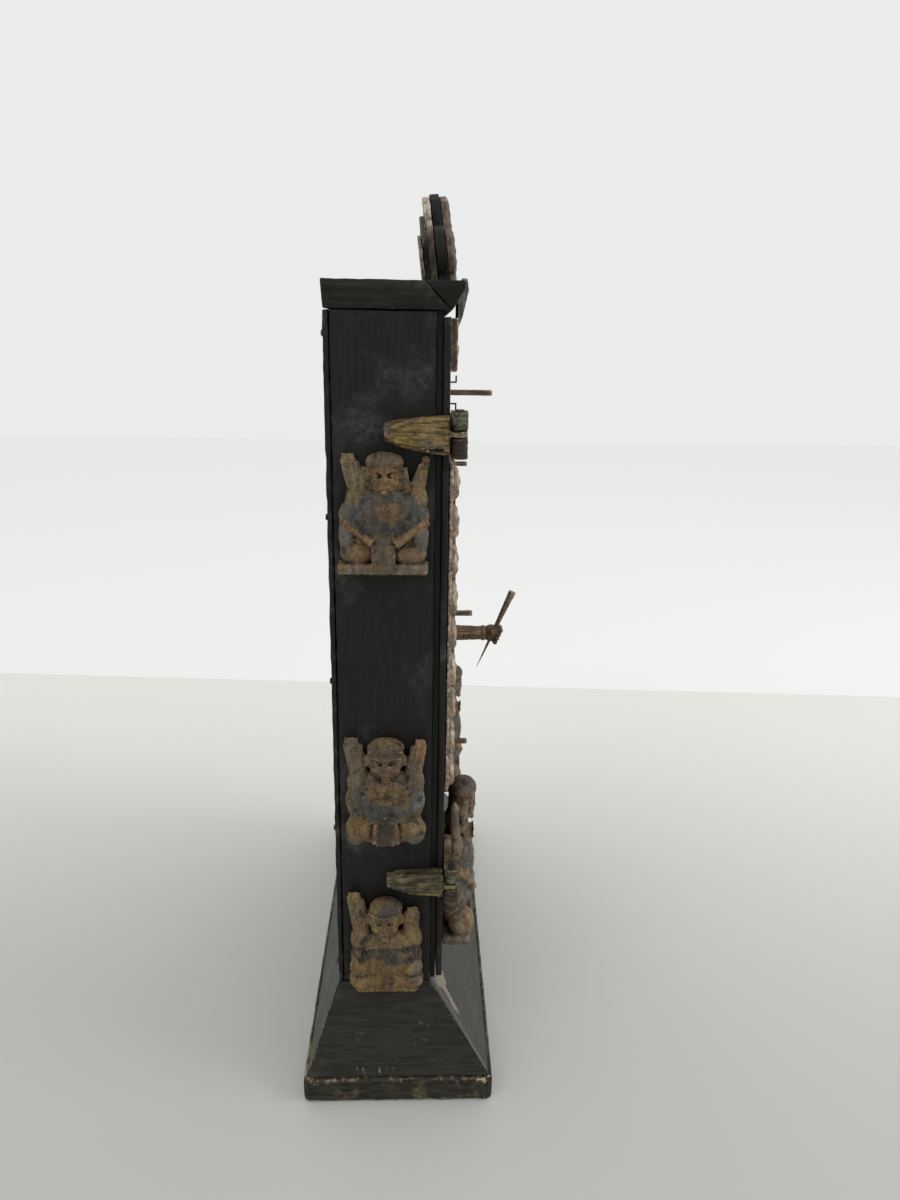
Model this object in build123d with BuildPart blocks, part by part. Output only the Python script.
from build123d import *
import os
from math import cos, hypot, radians, sin

# Carved wooden ball-game cabinet: a narrow case on a splayed base, closed by a
# thin playfield door that hangs on two carved hinge arms.
# Millimetres. Origin at the centre of the base's underside, +X to the right,
# -Y to the front, +Z up.

# Base
side_step = 33.0  # from the case's side out to the plinth's
back_step = 27.3  # from the back panel out to the plinth's back edge
plinth_height = 22.0
plinth_corner = 6.0  # worn upright corners
plinth_edge = 2.5  # worn top and bottom edges
slope_height = 68.0
slope_board = 16.0  # thickness of a sloping board, measured level
front_setback = 51.2  # from the plinth's front edge to the case's front

# Case
case_width = 348.0
case_depth = 70.5
case_height = 521.7
side_thick = 16.0
floor_thick = 10.0
back_thick = 4.4
stop_thick = 3.9  # strips that the door closes on
stop_width = 12.0
stop_inset = 4.0  # from the case's outer side to a stop

# Cornice
cornice_height = 18.3
cornice_overhang = 8.4
cornice_band = 5.0  # upright edge at the cornice's top
cornice_lip = 18.1  # how far the front moulding's end shows along the side
cornice_under = 0.6  # how far the moulding's lower edge already stands out

# Crest, a stack of carved boards that leans back
crest_lean = 7.0
crest_front = 3.2  # how far the crest's foot stands ahead of the cornice
crest_half = 58.0
crest_lobe = 26.0
crest_lobe_height = 52.0
crest_side_lobe = 20.0
crest_side_height = 30.0
crest_relief_thick = 9.0
crest_board_thick = 8.0
fan_layers = {"cream": (6.0, 34.0, 76.0), "dark": (4.0, 44.0, 62.0), "grey": (3.0, 50.0, 48.0)}

# Door
door_thick = 5.4
door_bottom_gap = 4.0
door_top_gap = 3.7
door_clear = 0.3  # between the door and the stops
batten_width = 20.0
batten_thick = 8.0
batten_end_gap = 16.0  # from the case's inner side to a batten's end
batten_drop = 53.0  # from the door's top down to the upper batten
batten_rise = 96.0  # from the door's bottom up to the lower batten

# Hinges: the pin line stands out from the door's near front edge
knuckle_gap = 1.0  # between the knuckles and the door's edge
knuckle_sink = 0.1  # how little the knuckles reach behind the door's face
hinge_pin = 1.8
hinge_knuckle = 6.0
hinge_leaf = 12.0
tongue_thick = 5.0
play = 0.3  # gap between pieces that pass each other
running = 0.05  # radial clearance of a pin that turns in a hole
pin_head = 3.0
pin_head_thick = 1.6
arm_out = 15.0
arm_waist = 9.0  # from the arm's front end back to its first narrowing
arm_swell = 24.0  # and back to its full width
arm_back = 9.7
arm_bevel = 3.5
upper_hinge_drop = 78.1  # from the cornice's underside
lower_hinge_rise = 97.3  # from the top of the splayed base
hinges = {
    "upper": {"up": 14.4, "down": 16.6, "arm_up": 12.4, "arm_down": 14.6, "finger": 0.0},
    "lower": {"up": 14.7, "down": 23.0, "arm_up": 10.7, "arm_down": 10.3, "finger": 17.6},
}

# Seated figures: width, height, depth, and how high the hands reach at the back
# and at the front (on the door: outer and inner hand), as shares of the height
side_figures = {
    "upper": (62.0, 83.3, 20.0, 0.98, 0.96),
    "middle": (63.4, 89.2, 20.0, 0.98, 0.98),
    "lower": (62.4, 90.2, 20.0, 1.0, 0.85),
}
upper_figure_drop = 173.4  # from the cornice's underside to the seat
middle_figure_rise = 134.8  # from the top of the splayed base to the seat
lower_figure_rise = 0.7
front_figure = (66.0, 142.0, 29.0, 0.93, 0.95)
front_figure_rise = 17.0  # from the door's bottom to the seat
front_figure_inset = 14.0  # from the door's edge to the figure

# Carving on the door
border_width = 22.0
border_edge = 2.0
border_rise = 168.0  # from the door's bottom up to the side borders
border_drop = 96.0  # from the door's top down to the side borders
border_ground = 3.0
border_relief = 5.5
border_leaves = 9
arch_height = 36.0
arch_thick = 5.5
arch_rise = 20.0
cartouche_half = 28.0
cartouche_drop = 38.5  # below the door's top
cartouche_rise = 11.0  # above the cornice's top
cartouche_thick = 5.5
cartouche_gap = 0.8  # ahead of the cornice

# Playfield
ball = 11.0
field_drop = 218.0  # from the door's top down to the centre of the playfield's arch
lane_inset = 41.0  # from the door's right edge to the ball lane's middle
lane_side_play = 1.5
rail_thick = 2.5
rail_proud = 7.0
rail_left_drop = 70.0
inner_rail_turn = 32.0
pocket_offsets = [(0.0, 12.0), (-72.0, -72.0), (62.0, -58.0)]  # from the arch's centre
out_hole_rise = 56.0  # from the door's bottom
payout_rise = 24.0
hole_play = 1.5  # ball holes are this much larger in radius than a ball
cup_wall = 2.0
cup_deep = 8.5
pin_radius = 0.8
pin_proud = 8.0
pin_driven = 3.0
pin_spacing = 20.0
pin_clear = 4.0  # kept free of pins round cups, pegs and the handle
pin_margin = 14.75  # from the inner rail to the field of pins

# Wooden pegs on the middle line: distance below the door's top, how far they stand out, thickness
pegs = {
    "long": (58.0, 41.4, 5.0),
    "upper": (119.0, 20.9, 4.2),
    "middle": (257.0, 28.9, 4.6),
    "lower": (387.0, 26.5, 4.4),
}
hook_wire = 0.7
hook_offsets = (8.5, -9.5)  # from the long peg's middle
hook_proud = 10.0
hook_bend = 5.0

# Handle: forearm and fist on a shaft, with the striker behind the door
handle_rise = 200.7  # from the door's bottom to the shaft
toe_reach = 25.0
toe_radius = 2.5
toe_proud = 6.4
toe_turn = 30.0
slot_end_play = 4.0  # degrees beyond the toe's travel at each end
shaft_radius = 4.0
bush_radius = 6.5
bush_flange = 13.0
bush_flange_thick = 2.5
bush_behind = 1.5
forearm_radius = 9.3
forearm_start = 7.0  # beyond the shoulder
forearm_end = 24.0
fist_round = 5.0
handle_facets = 10
wrist_radius = 8.0
fist_radius = 10.4
fist_end = 68.7  # from the door's face to the knuckles
fist_length = 19.0
striker_thick = 6.0
striker_back_gap = 0.7
striker_hub = 8.0
striker_tail = 34.0
striker_half = 4.0
key_radius = 1.0
spring_x_back = 30.0  # spring's line, left of the shaft
spring_length = 26.0
spring_radius = 3.2
spring_wire = 0.6
spring_touch = 0.1
spring_turns = 6.5
block_size = 16.0
block_deep = 10.0
block_high = 12.0

# Peg through the fist
spike_top = 4.0
spike_tip = 0.4
spike_length = 92.0
spike_lean = 22.9
spike_below = 42.3  # from the shaft's line down to the tip, along the peg
spike_clear = 0.06

# Trays
tray_half = 60.0
tray_rise = 2.0  # from the door's bottom
tray_tall = 15.0
tray_deep = 15.0
tray_wall = 3.0
catch_wall = 4.0
catch_high = 28.0
mouth_spare = 2.0  # the ball mouth's width beyond the hole's, each side
mouth_sill = 4.0  # what stays of the wall below the mouth
catch_side_gap = 8.0
catch_front_gap = 6.0
catch_back_gap = 3.0

# Nails in the back panel
nail_radius = 1.1
nail_head = 2.6
nail_dome = 1.3
nail_driven = 9.0
nail_rows = 5
nail_end = 15.0  # from the case's ends to the first and last nail

# Places that follow from the sizes above
plinth_width = case_width + 2 * side_step
plinth_depth = front_setback + case_depth + back_thick + back_step
plinth_front = -plinth_depth / 2
case_front = plinth_front + front_setback
case_back = case_front + case_depth
back_face = case_back + back_thick
half_case = case_width / 2
inner_half = half_case - side_thick
slope_top = plinth_height + slope_height
cornice_bottom = slope_top + case_height
cornice_top = cornice_bottom + cornice_height
door_back = case_front - stop_thick - door_clear
door_face = door_back - door_thick
door_bottom = slope_top + door_bottom_gap
door_top = cornice_bottom - door_top_gap
hinge_x = -half_case - hinge_knuckle - knuckle_gap
hinge_y = door_face - hinge_knuckle + knuckle_sink
hinge_levels = {"upper": cornice_bottom - upper_hinge_drop, "lower": slope_top + lower_hinge_rise}
figure_levels = {
    "upper": cornice_bottom - upper_figure_drop,
    "middle": slope_top + middle_figure_rise,
    "lower": slope_top + lower_figure_rise,
}
arm_front = hinge_y + hinge_knuckle + play
field_level = door_top - field_drop
border_low = door_bottom + border_rise
border_high = door_top - border_drop
lane_x = half_case - lane_inset
lane_bottom = border_low
lane_half = ball / 2 + lane_side_play
rail_radius = lane_x + lane_half + rail_thick / 2
inner_rail_x = lane_x - lane_half - rail_thick / 2
pin_field = inner_rail_x - pin_margin
hole_radius = ball / 2 + hole_play
pocket_places = [(x, field_level + offset) for x, offset in pocket_offsets]
out_hole_level = door_bottom + out_hole_rise
payout_level = door_bottom + payout_rise
peg_places = [(0.0, door_top - drop, thick) for drop, proud, thick in pegs.values()]
tray_low = door_bottom + tray_rise
tray_high = tray_low + tray_tall
handle_level = door_bottom + handle_rise
handle_x = lane_x - toe_reach
striker_front = door_back + bush_behind + striker_back_gap
striker_back = striker_front + striker_thick
spring_x = handle_x - spring_x_back
spring_low = handle_level + striker_half
spring_high = spring_low + spring_length
fist_tip = door_face - fist_end

os.makedirs("parts", exist_ok=True)


def save(piece, name):
    # Labels a finished piece and writes its STEP file
    piece.part.label = name
    export_step(piece.part, f"parts/{name}.step")
    print(f"{name:24s} {piece.part.volume / 1000:9.2f} cm3  {len(piece.part.solids())} solid(s)")


def block(low, high):
    # A box between two corners, added to the open BuildPart
    middle = tuple((a + b) / 2 for a, b in zip(low, high))
    size = [b - a for a, b in zip(low, high)]
    with Locations(middle):
        Box(*size)


def door_plane(ahead=0.0):
    # Upright plane in front of the door: sketch X is X, sketch Y is Z, it faces forward
    return Plane.XZ.offset(-door_face + ahead)


def outline(points):
    # A closed polygon in the open BuildSketch, at the coordinates given
    Polygon(*points, align=None)


# ---------------------------------------------------------------- base
with BuildPart() as plinth:
    block((-plinth_width / 2, plinth_front, 0), (plinth_width / 2, -plinth_front, plinth_height))
    fillet(plinth.edges().filter_by(Axis.Z), radius=plinth_corner)
    fillet(plinth.faces().sort_by(Axis.Z)[-1].edges(), radius=plinth_edge)
    fillet(plinth.faces().sort_by(Axis.Z)[0].edges(), radius=plinth_edge)
save(plinth, "base_plinth")


foot_half = plinth_width / 2 - plinth_edge
foot_depth = plinth_depth / 2 - plinth_edge
# level, half width, front and back of the splayed ring's two ends
ring_ends = [
    (plinth_height, foot_half, -foot_depth, foot_depth),
    (slope_top, half_case, case_front, back_face),
]


def mitre(side_x, side_y):
    # Plane through one corner of the splayed base, facing the front or back board
    foot_x = side_x * foot_half
    foot_y = side_y * foot_depth
    top_y = back_face if side_y > 0 else case_front
    edge = Vector(side_x * half_case - foot_x, top_y - foot_y, slope_height)
    level = Vector(side_x, side_y, 0)
    normal = edge.cross(level)
    if normal.Y * side_y < 0:
        normal = -normal
    return Plane(origin=(foot_x, foot_y, plinth_height), x_dir=edge, z_dir=normal)


def slope(name, cuts):
    # One sloping board, cut from the hollow splayed ring by its mitres
    with BuildPart() as board:
        for inset, mode in ((0, Mode.ADD), (slope_board, Mode.SUBTRACT)):
            for level, half_x, front, back in ring_ends:
                with BuildSketch(Plane.XY.offset(level)):
                    with Locations((0, (front + back) / 2)):
                        Rectangle(2 * (half_x - inset), back - front - 2 * inset)
            loft(mode=mode)
        for plane, keep in cuts:
            split(bisect_by=plane, keep=keep)
    save(board, name)


for side, word in ((-1, "front"), (1, "back")):
    half_way = (Plane.XZ, Keep.TOP if side < 0 else Keep.BOTTOM)
    slope(f"base_slope_{word}", [half_way, (mitre(-1, side), Keep.TOP), (mitre(1, side), Keep.TOP)])
for side, word in ((-1, "left"), (1, "right")):
    slope(f"base_slope_{word}", [(mitre(side, -1), Keep.BOTTOM), (mitre(side, 1), Keep.BOTTOM)])

# ---------------------------------------------------------------- case
with BuildPart() as case_floor:
    block((-inner_half, case_front, slope_top), (inner_half, case_back, slope_top + floor_thick))
save(case_floor, "case_floor")

for side, name in ((-1, "side_panel_left"), (1, "side_panel_right")):
    with BuildPart() as side_panel:
        near, far = sorted((side * inner_half, side * half_case))
        block((near, case_front, slope_top), (far, case_back, cornice_bottom))
    save(side_panel, name)

with BuildPart() as back_panel:
    block((-half_case, case_back, slope_top), (half_case, back_face, cornice_bottom))
save(back_panel, "back_panel")

with BuildPart() as top_board:
    block((-half_case, door_face, cornice_bottom), (half_case, back_face, cornice_top))
save(top_board, "top_board")

stop_half = half_case - stop_inset
stop_low = slope_top + door_clear
with BuildPart() as door_stops:
    for side in (-1, 1):
        near, far = sorted((side * (stop_half - stop_width), side * stop_half))
        block((near, case_front - stop_thick, stop_low), (far, case_front, cornice_bottom))
    for low in (stop_low, cornice_bottom - stop_width):
        rail_end = stop_half - stop_width
        block((-rail_end, case_front - stop_thick, low), (rail_end, case_front, low + stop_width))
save(door_stops, "door_stops")


def crown_profile(face, out):
    # Section of the moulding: upright band at the top, sloping in to nothing below.
    # face is where the moulding meets the case, out is +1 or -1.
    band_low = cornice_top - cornice_band
    return [
        (face, cornice_bottom),
        (face + out * cornice_under, cornice_bottom),
        (face + out * cornice_overhang, band_low),
        (face + out * cornice_overhang, cornice_top),
        (face, cornice_top),
    ]


# The front moulding's ends reach back along the sides as a triangle of end grain
with BuildPart() as cornice_front:
    with BuildSketch(Plane.YZ.offset(-half_case - cornice_overhang)):
        outline(crown_profile(door_face, -1))
    extrude(amount=case_width + 2 * cornice_overhang)
    for side in (-1, 1):
        with BuildSketch(Plane.XZ.offset(-door_face)):
            outline(crown_profile(side * half_case, side))
        extrude(amount=-cornice_lip)
        with BuildSketch(Plane.YZ.offset(side * half_case - (cornice_overhang if side < 0 else 0))):
            outline([
                (door_face, cornice_bottom),
                (door_face + cornice_lip, cornice_bottom),
                (door_face + cornice_lip, cornice_top),
            ])
        extrude(amount=cornice_overhang, mode=Mode.SUBTRACT)
    for side in (-1, 1):
        with BuildSketch(Plane.XZ.offset(-door_face)):
            outline([
                (side * (half_case + cornice_under), cornice_bottom),
                (side * (half_case + cornice_overhang), cornice_top - cornice_band),
                (side * (half_case + cornice_overhang), cornice_bottom),
            ])
        extrude(amount=cornice_overhang, mode=Mode.SUBTRACT)
save(cornice_front, "cornice_front")

for side, name in ((-1, "cornice_left"), (1, "cornice_right")):
    with BuildPart() as moulding:
        with BuildSketch(Plane.XZ.offset(-back_face)):
            outline(crown_profile(side * half_case, side))
        extrude(amount=back_face - door_face)
        with BuildSketch(Plane.YZ.offset(side * half_case - (cornice_overhang if side < 0 else 0))):
            outline([
                (door_face, cornice_bottom),
                (door_face + cornice_lip, cornice_top),
                (door_face, cornice_top),
            ])
        extrude(amount=cornice_overhang, mode=Mode.SUBTRACT)
    save(moulding, name)

# ---------------------------------------------------------------- crest
def crest_plane(behind):
    # Leaning upright plane, a given distance behind the crest's front
    front = door_face - cornice_overhang - crest_front
    lean = radians(crest_lean)
    ahead = Vector(0, -cos(lean), sin(lean))
    return Plane(origin=Vector(0, front, cornice_top) - ahead * behind, x_dir=(1, 0, 0), z_dir=ahead)


def crest_layer(name, behind, thick, draw):
    # One leaning board of the crest, cut off level on the cornice's top
    with BuildPart() as layer:
        with BuildSketch(crest_plane(behind + thick)):
            draw()
        extrude(amount=thick)
        split(bisect_by=Plane.XY.offset(cornice_top), keep=Keep.TOP)
    save(layer, name)


def draw_lobes(trim=0.0):
    # Three round lobes on a foot, drawn in by the trim
    with Locations((0, crest_lobe_height)):
        Circle(crest_lobe - trim)
    lobe_x = crest_half - crest_side_lobe
    with Locations((lobe_x, crest_side_height), (-lobe_x, crest_side_height)):
        Circle(crest_side_lobe - trim)
    with Locations((0, crest_side_height / 2 - crest_lobe / 2)):
        Rectangle(2 * (crest_half - trim) - crest_side_lobe, crest_side_height + crest_lobe)


def draw_fan(half, height):
    # A flat tapering leaf that widens towards its round top
    top = height - half / 2
    foot = half * 0.6
    outline([(half, top), (foot, -crest_lobe / 2), (-foot, -crest_lobe / 2), (-half, top)])
    with Locations((0, top)):
        Ellipse(half, half / 2)


crest_layer("crest_relief", 0, crest_relief_thick, lambda: draw_lobes(2.5))
crest_layer("crest_board", crest_relief_thick, crest_board_thick, draw_lobes)
behind = crest_relief_thick + crest_board_thick
for tone, (thick, half, height) in fan_layers.items():
    crest_layer(f"crest_fan_{tone}", behind, thick, lambda: draw_fan(half, height))
    behind += thick


# ---------------------------------------------------------------- figures
def limb(start, end, radius):
    # A straight round limb with rounded ends, added to the open BuildPart
    start, end = Vector(start), Vector(end)
    with Locations(Plane(origin=start, z_dir=end - start)):
        Cylinder(radius, (end - start).length, align=(Align.CENTER, Align.CENTER, Align.MIN))
    with Locations(start, end):
        Sphere(radius)


def figure(name, seat, across, out, size, hands):
    # Seated figure with raised arms, carved on to a flat face.
    # seat is the middle of its foot on that face; across and out are unit vectors.
    # hands are the heights of the two hands, against and along the across direction.
    width, height, depth = size
    seat, across, out = Vector(seat), Vector(across), Vector(out)
    half = width / 2

    def at(side, up, away):
        return seat + across * (side * half) + Vector(0, 0, up * height) + out * (away * depth)

    # level, half width, half depth and middle of each slice of the body
    slices = [
        (0.00, 0.94, 0.46, 0.48),
        (0.08, 0.96, 0.49, 0.50),
        (0.22, 0.93, 0.48, 0.51),
        (0.38, 0.98, 0.47, 0.50),
        (0.50, 0.92, 0.42, 0.46),
        (0.60, 0.66, 0.36, 0.42),
        (0.67, 0.34, 0.30, 0.40),
    ]
    arm_radius = 0.13 * half
    with BuildPart() as body:
        for up, half_width, half_depth, middle in slices:
            with BuildSketch(Plane(origin=at(0, up, middle), x_dir=across, z_dir=(0, 0, 1))):
                Ellipse(half_width * half, half_depth * depth)
        loft()
        for side, hand in zip((-1, 1), hands):
            elbow = at(side * 0.66, 0.58, 0.40)
            limb(at(side * 0.48, 0.50, 0.40), elbow, arm_radius)
            limb(elbow, at(side * 0.80, hand, 0.36) - Vector(0, 0, arm_radius), arm_radius)
        head_radius = 0.22 * width
        with Locations(at(0, 1, 0.36) - Vector(0, 0, head_radius)):
            Sphere(head_radius)
        limb(at(0, 0.60, 0.36), at(0, 0.96, 0.36) - Vector(0, 0, head_radius), head_radius * 0.9)
        back_side = Plane(origin=seat, x_dir=across, z_dir=out)
        split(bisect_by=back_side, keep=Keep.TOP)
        split(bisect_by=back_side.offset(depth), keep=Keep.BOTTOM)
    save(body, name)


for side, word in ((-1, "left"), (1, "right")):
    for place, (width, height, depth, *hands) in side_figures.items():
        seat = (side * half_case, (case_front + case_back) / 2, figure_levels[place])
        size = (width, height, depth)
        figure(f"figure_{word}_{place}", seat, (0, side, 0), (side, 0, 0), size, hands[::-side])
    width, height, depth, *hands = front_figure
    seat = (side * (half_case - front_figure_inset - width / 2), door_face, door_bottom + front_figure_rise)
    size = (width, height, depth)
    figure(f"figure_front_{word}", seat, (1, 0, 0), (0, -1, 0), size, hands[::-side])


# ---------------------------------------------------------------- hinges
def hinge_arm(name, level, hinge):
    # Carved forearm on the case's left side, ending in a tongue round the hinge pin
    low = level - hinge["arm_down"]
    high = level + hinge["arm_up"]
    tall = high - low
    sections = [
        (arm_back, low + 0.35 * tall, high - 0.20 * tall, 0.8 * arm_out),
        (arm_back - arm_waist, low + 0.22 * tall, high - 0.12 * tall, 0.9 * arm_out),
        (arm_back - arm_swell, low + 0.08 * tall, high - 0.04 * tall, arm_out),
        (arm_front, low, high, arm_out),
    ]
    with BuildPart() as arm:
        for y, bottom, top, out in sections:
            with BuildSketch(Plane.XZ.offset(-y)):
                outline([
                    (-half_case, bottom),
                    (-half_case - out + arm_bevel, bottom),
                    (-half_case - out, bottom + arm_bevel),
                    (-half_case - out, top - arm_bevel),
                    (-half_case - out + arm_bevel, top),
                    (-half_case, top),
                ])
        loft(ruled=True)
        with BuildSketch(Plane.XY.offset(level - tongue_thick / 2)):
            with Locations((hinge_x, hinge_y)):
                Circle(hinge_knuckle)
            with Locations((hinge_x, (hinge_y + arm_front) / 2)):
                Rectangle(2 * hinge_knuckle, arm_front - hinge_y)
        extrude(amount=tongue_thick)
        with Locations((hinge_x, hinge_y, level)):
            Cylinder(hinge_pin + running, 2 * tongue_thick, mode=Mode.SUBTRACT)
    save(arm, name)


def hinge_hand(name, level, hinge):
    # The door's half: two knuckles round the tongue, and a leaf on the door's face
    low = level - hinge["down"]
    high = level + hinge["up"]
    gap = tongue_thick / 2 + play
    leaf_end = -half_case + hinge_leaf
    with BuildPart() as hand:
        with BuildSketch(Plane.XY.offset(low)):
            with Locations((hinge_x, hinge_y)):
                Circle(hinge_knuckle)
            with Locations(((hinge_x + leaf_end) / 2, (door_face + hinge_y - hinge_knuckle) / 2)):
                Rectangle(leaf_end - hinge_x, door_face - hinge_y + hinge_knuckle)
        extrude(amount=high - low)
        if hinge["finger"] > 0:
            block((-half_case, hinge_y, high), (leaf_end, door_face, high + hinge["finger"]))
        with Locations((hinge_x, hinge_y, level)):
            Box(2 * (hinge_knuckle + play), 4 * hinge_knuckle, 2 * gap, mode=Mode.SUBTRACT)
        with Locations((hinge_x, hinge_y, (low + high) / 2)):
            Cylinder(hinge_pin, 2 * (high - low), mode=Mode.SUBTRACT)
    save(hand, name)


def hinge_rod(name, level, hinge):
    # Headed pin through both knuckles and the tongue
    low = level - hinge["down"]
    high = level + hinge["up"]
    with BuildPart() as rod:
        with BuildSketch(Plane.XY.offset(low)):
            with Locations((hinge_x, hinge_y)):
                Circle(hinge_pin)
        extrude(amount=high - low)
        with BuildSketch(Plane.XY.offset(high)):
            with Locations((hinge_x, hinge_y)):
                Circle(pin_head)
        extrude(amount=pin_head_thick)
    save(rod, name)


for place, hinge in hinges.items():
    hinge_arm(f"hinge_arm_{place}", hinge_levels[place], hinge)
    hinge_hand(f"hinge_hand_{place}", hinge_levels[place], hinge)
    hinge_rod(f"hinge_pin_{place}", hinge_levels[place], hinge)

# ---------------------------------------------------------------- door
with BuildPart() as door_board:
    with BuildSketch(door_plane(-door_thick)):
        with Locations((0, (door_bottom + door_top) / 2)):
            Rectangle(case_width, door_top - door_bottom)
        with Locations(*pocket_places, (0, out_hole_level), (0, payout_level)):
            Circle(hole_radius, mode=Mode.SUBTRACT)
        with Locations((handle_x, handle_level)):
            Circle(bush_radius, mode=Mode.SUBTRACT)
        for x, level, thick in peg_places:
            with Locations((x, level)):
                Rectangle(thick, thick, mode=Mode.SUBTRACT)
        with BuildLine(mode=Mode.PRIVATE) as toe_path:
            turn = -(toe_turn + 2 * slot_end_play)
            CenterArc((handle_x, handle_level), toe_reach, slot_end_play, turn)
        SlotArc(toe_path.edge(), 2 * (toe_radius + play), mode=Mode.SUBTRACT)
    extrude(amount=door_thick)
save(door_board, "door_board")

for place, level in (("top", door_top - batten_drop), ("bottom", door_bottom + batten_rise)):
    with BuildPart() as batten:
        end = inner_half - batten_end_gap
        block((-end, door_back, level - batten_width / 2),
              (end, door_back + batten_thick, level + batten_width / 2))
    save(batten, f"batten_{place}")

for place, (drop, proud, thick) in pegs.items():
    with BuildPart() as peg:
        with BuildSketch(door_plane(-door_thick)):
            with Locations((0, door_top - drop)):
                Rectangle(thick, thick)
        extrude(amount=door_thick + proud)
        chamfer(peg.faces().sort_by(Axis.Y)[0].edges(), length=thick / 8)
    save(peg, f"peg_{place}")

with BuildPart() as wire_hooks:
    for offset in hook_offsets:
        level = door_top - pegs["long"][0] + offset
        turn = 1 if offset > 0 else -1
        tip = (0, door_face - hook_proud, level + turn * hook_bend)
        knee = (0, door_face - hook_proud, level)
        with BuildSketch(door_plane()):
            with Locations((0, level)):
                Circle(hook_wire)
        extrude(amount=hook_proud)
        limb(knee, tip, hook_wire)
save(wire_hooks, "wire_hooks")

# Carved borders, an arch under the cornice and the cartouche over it
leaf_pitch = (border_high - border_low) / border_leaves
for side, word in ((-1, "left"), (1, "right")):
    middle = side * (half_case - border_edge - border_width / 2)
    with BuildPart() as border:
        with BuildSketch(door_plane()):
            with Locations((middle, (border_low + border_high) / 2)):
                Rectangle(border_width, border_high - border_low)
        extrude(amount=border_ground)
        for rise, share in ((border_relief * 0.6, 0.46), (border_relief, 0.34)):
            with BuildSketch(door_plane(border_ground)):
                for number in range(border_leaves):
                    with Locations((middle, border_low + (number + 0.5) * leaf_pitch)):
                        Ellipse(border_width * share, leaf_pitch * share)
            extrude(amount=rise)
    save(border, f"border_{word}")

arch_half = half_case - border_edge - border_width
with BuildPart() as arch:
    with BuildSketch(door_plane()):
        low = door_top - arch_height
        with BuildLine():
            Polyline((arch_half, low), (arch_half, door_top), (-arch_half, door_top), (-arch_half, low))
            ThreePointArc((-arch_half, low), (0, low + arch_rise), (arch_half, low))
        make_face()
        with Locations((0, door_top - cartouche_drop / 2)):
            Rectangle(2 * (cartouche_half + play), cartouche_drop, mode=Mode.SUBTRACT)
    extrude(amount=arch_thick)
save(arch, "border_arch")

cornice_face = door_face - cornice_overhang
crest_foot = cornice_face - crest_front
cartouche_low = door_top - cartouche_drop
with BuildPart() as cartouche:
    with BuildSketch(Plane.YZ.offset(-cartouche_half)):
        outline([
            (door_face, cartouche_low),
            (door_face, door_top),
            (cornice_face - cartouche_gap, door_top),
            (cornice_face - cartouche_gap, cornice_top - cornice_band),
            (crest_foot - cartouche_gap, cornice_top - cartouche_gap),
            (crest_foot - cartouche_gap, cornice_top + cartouche_rise),
            (crest_foot - cartouche_thick, cornice_top + cartouche_rise),
            (crest_foot - cartouche_thick - 1.2, cornice_top + 2),
            (cornice_face - cartouche_thick, cornice_bottom),
            (door_face - cartouche_thick, cartouche_low + cartouche_drop * 0.55),
        ])
    extrude(amount=2 * cartouche_half)
    fillet(cartouche.edges().filter_by(Axis.Y), radius=2)
save(cartouche, "cartouche")

# ---------------------------------------------------------------- playfield
with BuildPart() as rail_outer:
    with BuildSketch(door_plane()):
        with BuildLine():
            Polyline((lane_x - lane_half, lane_bottom), (rail_radius, lane_bottom), (rail_radius, field_level))
            CenterArc((0, field_level), rail_radius, 0, 180)
            Line((-rail_radius, field_level), (-rail_radius, field_level - rail_left_drop))
        trace(line_width=rail_thick)
    extrude(amount=rail_proud)
save(rail_outer, "rail_outer")

with BuildPart() as rail_inner:
    with BuildSketch(door_plane()):
        with BuildLine():
            Line((inner_rail_x, lane_bottom), (inner_rail_x, field_level))
            CenterArc((0, field_level), inner_rail_x, 0, inner_rail_turn)
        trace(line_width=rail_thick)
    extrude(amount=rail_proud)
save(rail_inner, "rail_inner")

# A half-round cup under each ball hole
cup_inner = hole_radius + 1
with BuildPart() as pocket_cups:
    with BuildSketch(door_plane()):
        with Locations(*pocket_places):
            Circle(cup_inner + cup_wall)
            Circle(cup_inner, mode=Mode.SUBTRACT)
        for x, level in pocket_places:
            with Locations((x, level + cup_inner + cup_wall)):
                Rectangle(3 * cup_inner, 2 * cup_inner, mode=Mode.SUBTRACT)
    extrude(amount=cup_deep)
    with BuildSketch(door_plane(cup_deep)):
        with Locations(*pocket_places):
            Circle(cup_inner + cup_wall)
        for x, level in pocket_places:
            with Locations((x, level + cup_inner + cup_wall)):
                Rectangle(3 * cup_inner, 3 * cup_inner, mode=Mode.SUBTRACT)
    extrude(amount=cup_wall)
save(pocket_cups, "pocket_cups")

# Pins stand in staggered rows wherever nothing else is
blocked = [(x, level, cup_inner + cup_wall + pin_clear) for x, level in pocket_places]
blocked += [(x, level, thick + pin_clear) for x, level, thick in peg_places]
blocked += [(handle_x, handle_level, bush_flange + pin_clear + 1)]
pin_places = []
row_count = int(2 * pin_field / pin_spacing) + 1
for row in range(row_count):
    level = field_level - pin_field + row * pin_spacing
    for column in range(-row_count, row_count + 1):
        x = (column + 0.5 * (row % 2)) * pin_spacing
        inside = hypot(x, level - field_level) <= pin_field
        if inside and all(hypot(x - bx, level - bz) > radius for bx, bz, radius in blocked):
            pin_places.append((x, level))

with BuildPart() as playfield_pins:
    with BuildSketch(door_plane(-pin_driven)):
        with Locations(*pin_places):
            Circle(pin_radius)
    extrude(amount=pin_driven + pin_proud)
save(playfield_pins, "playfield_pins")

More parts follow.
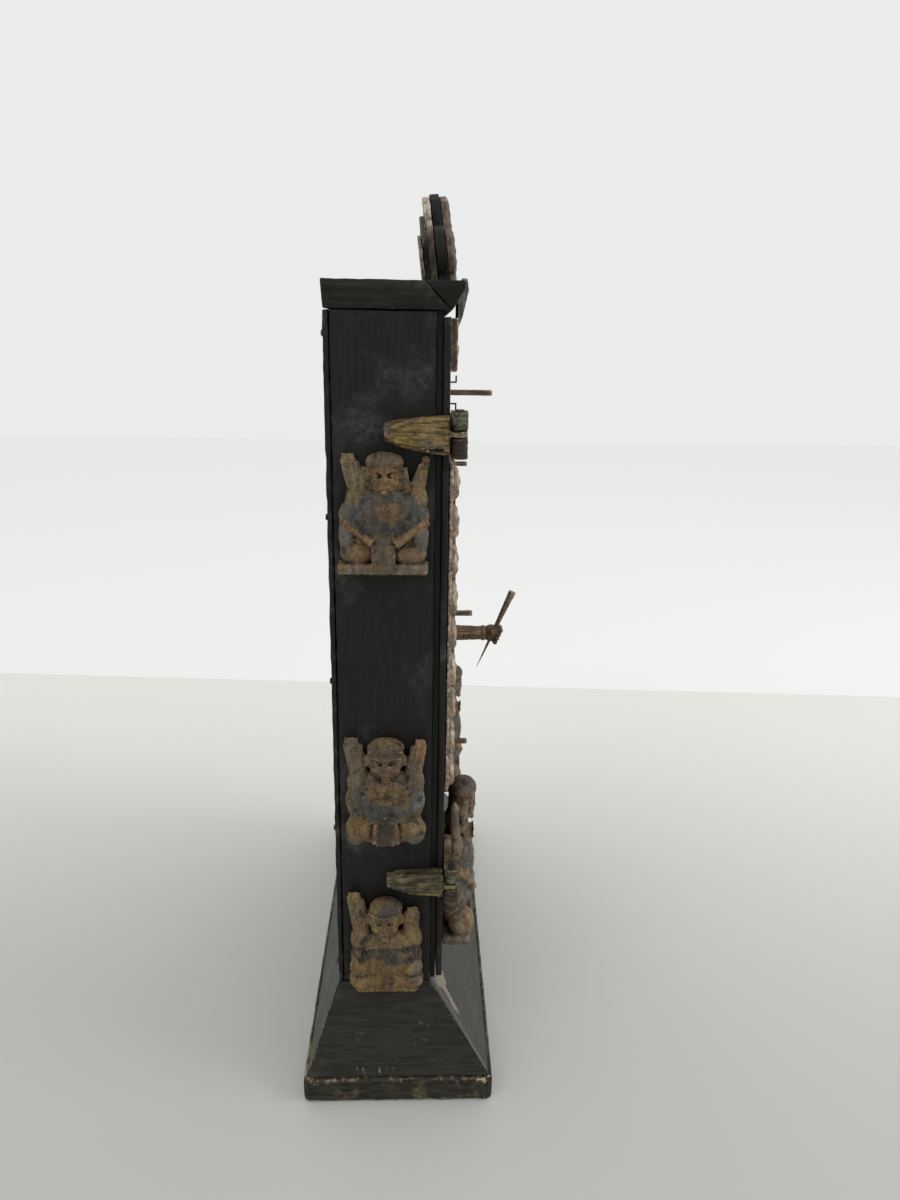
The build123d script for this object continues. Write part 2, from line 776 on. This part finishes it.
with BuildPart() as front_tray:
    block((-tray_half, door_face - tray_deep, tray_low), (tray_half, door_face, tray_high))
    fillet(front_tray.edges().filter_by(Axis.Z).group_by(Axis.Y)[0], radius=4)
    with Locations((0, door_face - tray_deep / 2, (tray_low + tray_wall + tray_high) / 2)):
        Box(2 * (tray_half - tray_wall), tray_deep - 2 * tray_wall, tray_high - tray_low - tray_wall,
            mode=Mode.SUBTRACT)
    with Locations((0, door_face, tray_high)):
        Box(2 * hole_radius, 3 * tray_wall, 2 * tray_wall, mode=Mode.SUBTRACT)
save(front_tray, "front_tray")

# ---------------------------------------------------------------- handle
handle_line = Plane(origin=(handle_x, door_face, handle_level), x_dir=(1, 0, 0), z_dir=(0, -1, 0))
with BuildPart() as bushing:
    with BuildSketch(handle_line.offset(-door_thick - bush_behind)):
        Circle(bush_radius)
    extrude(amount=door_thick + bush_behind)
    with BuildSketch(handle_line):
        Circle(bush_flange)
    extrude(amount=bush_flange_thick)
    with BuildSketch(handle_line.offset(-door_thick - bush_behind)):
        Circle(shaft_radius + running)
    extrude(amount=door_thick + bush_behind + bush_flange_thick, mode=Mode.SUBTRACT)
save(bushing, "handle_bushing")

spike_axis = Vector(0, -sin(radians(spike_lean)), cos(radians(spike_lean)))
fist_middle = Vector(handle_x, fist_tip + fist_length / 2 + 1.3, handle_level)
spike_plane = Plane(origin=fist_middle - spike_axis * spike_below, x_dir=(1, 0, 0), z_dir=spike_axis)
shaft_back = -(striker_back + 2 - door_face)  # along the handle's line, behind the striker
shoulder = bush_flange_thick + play
with BuildPart() as handle_arm:
    with BuildSketch(handle_line.offset(shaft_back)):
        Circle(shaft_radius)
    extrude(amount=shoulder - shaft_back)
    sections = [
        (shoulder, forearm_radius),
        (shoulder + forearm_start, forearm_radius),
        (shoulder + forearm_end, forearm_radius * 0.93),
        (fist_end - fist_length - 2, wrist_radius),
    ]
    for along, radius in sections:
        with BuildSketch(handle_line.offset(along)):
            RegularPolygon(radius, handle_facets)
    loft(ruled=True)
    knuckles = [
        (fist_end - fist_length - 2, wrist_radius),
        (fist_end - fist_length + 2, fist_radius),
        (fist_end - fist_round, fist_radius),
        (fist_end, fist_radius * 0.72),
    ]
    for along, radius in knuckles:
        with BuildSketch(handle_line.offset(along)):
            RegularPolygon(radius, handle_facets)
    loft(ruled=True)
    with Locations(spike_plane):
        Cone(spike_tip + spike_clear, spike_top + spike_clear, spike_length,
             align=(Align.CENTER, Align.CENTER, Align.MIN), mode=Mode.SUBTRACT)
    with Locations((handle_x, (striker_front + striker_back) / 2, handle_level)):
        Cylinder(key_radius, 4 * shaft_radius, mode=Mode.SUBTRACT)
save(handle_arm, "handle_arm")

with BuildPart() as spike_peg:
    with Locations(spike_plane):
        Cone(spike_tip, spike_top, spike_length, align=(Align.CENTER, Align.CENTER, Align.MIN))
save(spike_peg, "spike_peg")

with BuildPart() as striker:
    with BuildSketch(Plane.XZ.offset(-striker_back)):
        with Locations((handle_x, handle_level)):
            Circle(striker_hub)
        with Locations((handle_x + (toe_reach - striker_tail) / 2, handle_level)):
            SlotOverall(toe_reach + striker_tail + 2 * striker_half, 2 * striker_half)
        with Locations((handle_x, handle_level)):
            Circle(shaft_radius, mode=Mode.SUBTRACT)
    extrude(amount=striker_thick)
    with BuildSketch(Plane.XZ.offset(-striker_front)):
        with Locations((handle_x + toe_reach, handle_level)):
            Circle(toe_radius)
    extrude(amount=striker_front - door_face + toe_proud)
    with Locations((handle_x, (striker_front + striker_back) / 2, handle_level)):
        Cylinder(key_radius, 4 * striker_hub, mode=Mode.SUBTRACT)
save(striker, "striker")

with BuildPart() as striker_key:
    with Locations((handle_x, (striker_front + striker_back) / 2, handle_level)):
        Cylinder(key_radius, 2 * striker_hub + 2)
save(striker_key, "striker_key")

with BuildPart() as spring_block:
    middle_y = (striker_front + striker_back) / 2
    block((spring_x - block_size / 2, door_back, spring_high),
          (spring_x + block_size / 2, door_back + block_deep, spring_high + block_high))
save(spring_block, "spring_block")

spring_end = spring_wire + spring_touch
with BuildPart() as return_spring:
    with BuildLine() as coil:
        Helix(pitch=(spring_length - 2 * spring_end) / spring_turns, height=spring_length - 2 * spring_end,
              radius=spring_radius, center=(spring_x, middle_y, spring_low + spring_end))
    with BuildSketch(Plane(origin=coil.line @ 0, z_dir=coil.line % 0)):
        Circle(spring_wire)
    sweep(path=coil.line, is_frenet=True)
save(return_spring, "return_spring")

# ---------------------------------------------------------------- inside and back
with BuildPart() as catch_tray:
    low = slope_top + floor_thick
    half = inner_half - catch_side_gap
    front = case_front + catch_front_gap
    back = case_back - catch_back_gap
    block((-half, front, low), (half, back, low + catch_high))
    with Locations((0, (front + back) / 2, low + catch_wall + catch_high / 2)):
        Box(2 * (half - catch_wall), back - front - 2 * catch_wall, catch_high, mode=Mode.SUBTRACT)
    mouth_deep = catch_high - catch_wall - mouth_sill
    with Locations((0, front, low + catch_high)):
        Box(2 * (hole_radius + mouth_spare), 3 * catch_wall, 2 * mouth_deep, mode=Mode.SUBTRACT)
save(catch_tray, "catch_tray")

nail_step = (case_height - 2 * nail_end) / (nail_rows - 1)
with BuildPart() as back_nails:
    nail_line = half_case - side_thick / 2
    levels = [slope_top + nail_end + row * nail_step for row in range(nail_rows)]
    places = [(side * nail_line, level) for side in (-1, 1) for level in levels]
    with BuildSketch(Plane.XZ.offset(-back_face)):
        with Locations(*places):
            Circle(nail_radius)
    extrude(amount=nail_driven)
    with BuildSketch(Plane.XZ.offset(-back_face)):
        with Locations(*places):
            Circle(nail_head)
    extrude(amount=-nail_dome, taper=30)
save(back_nails, "back_nails")
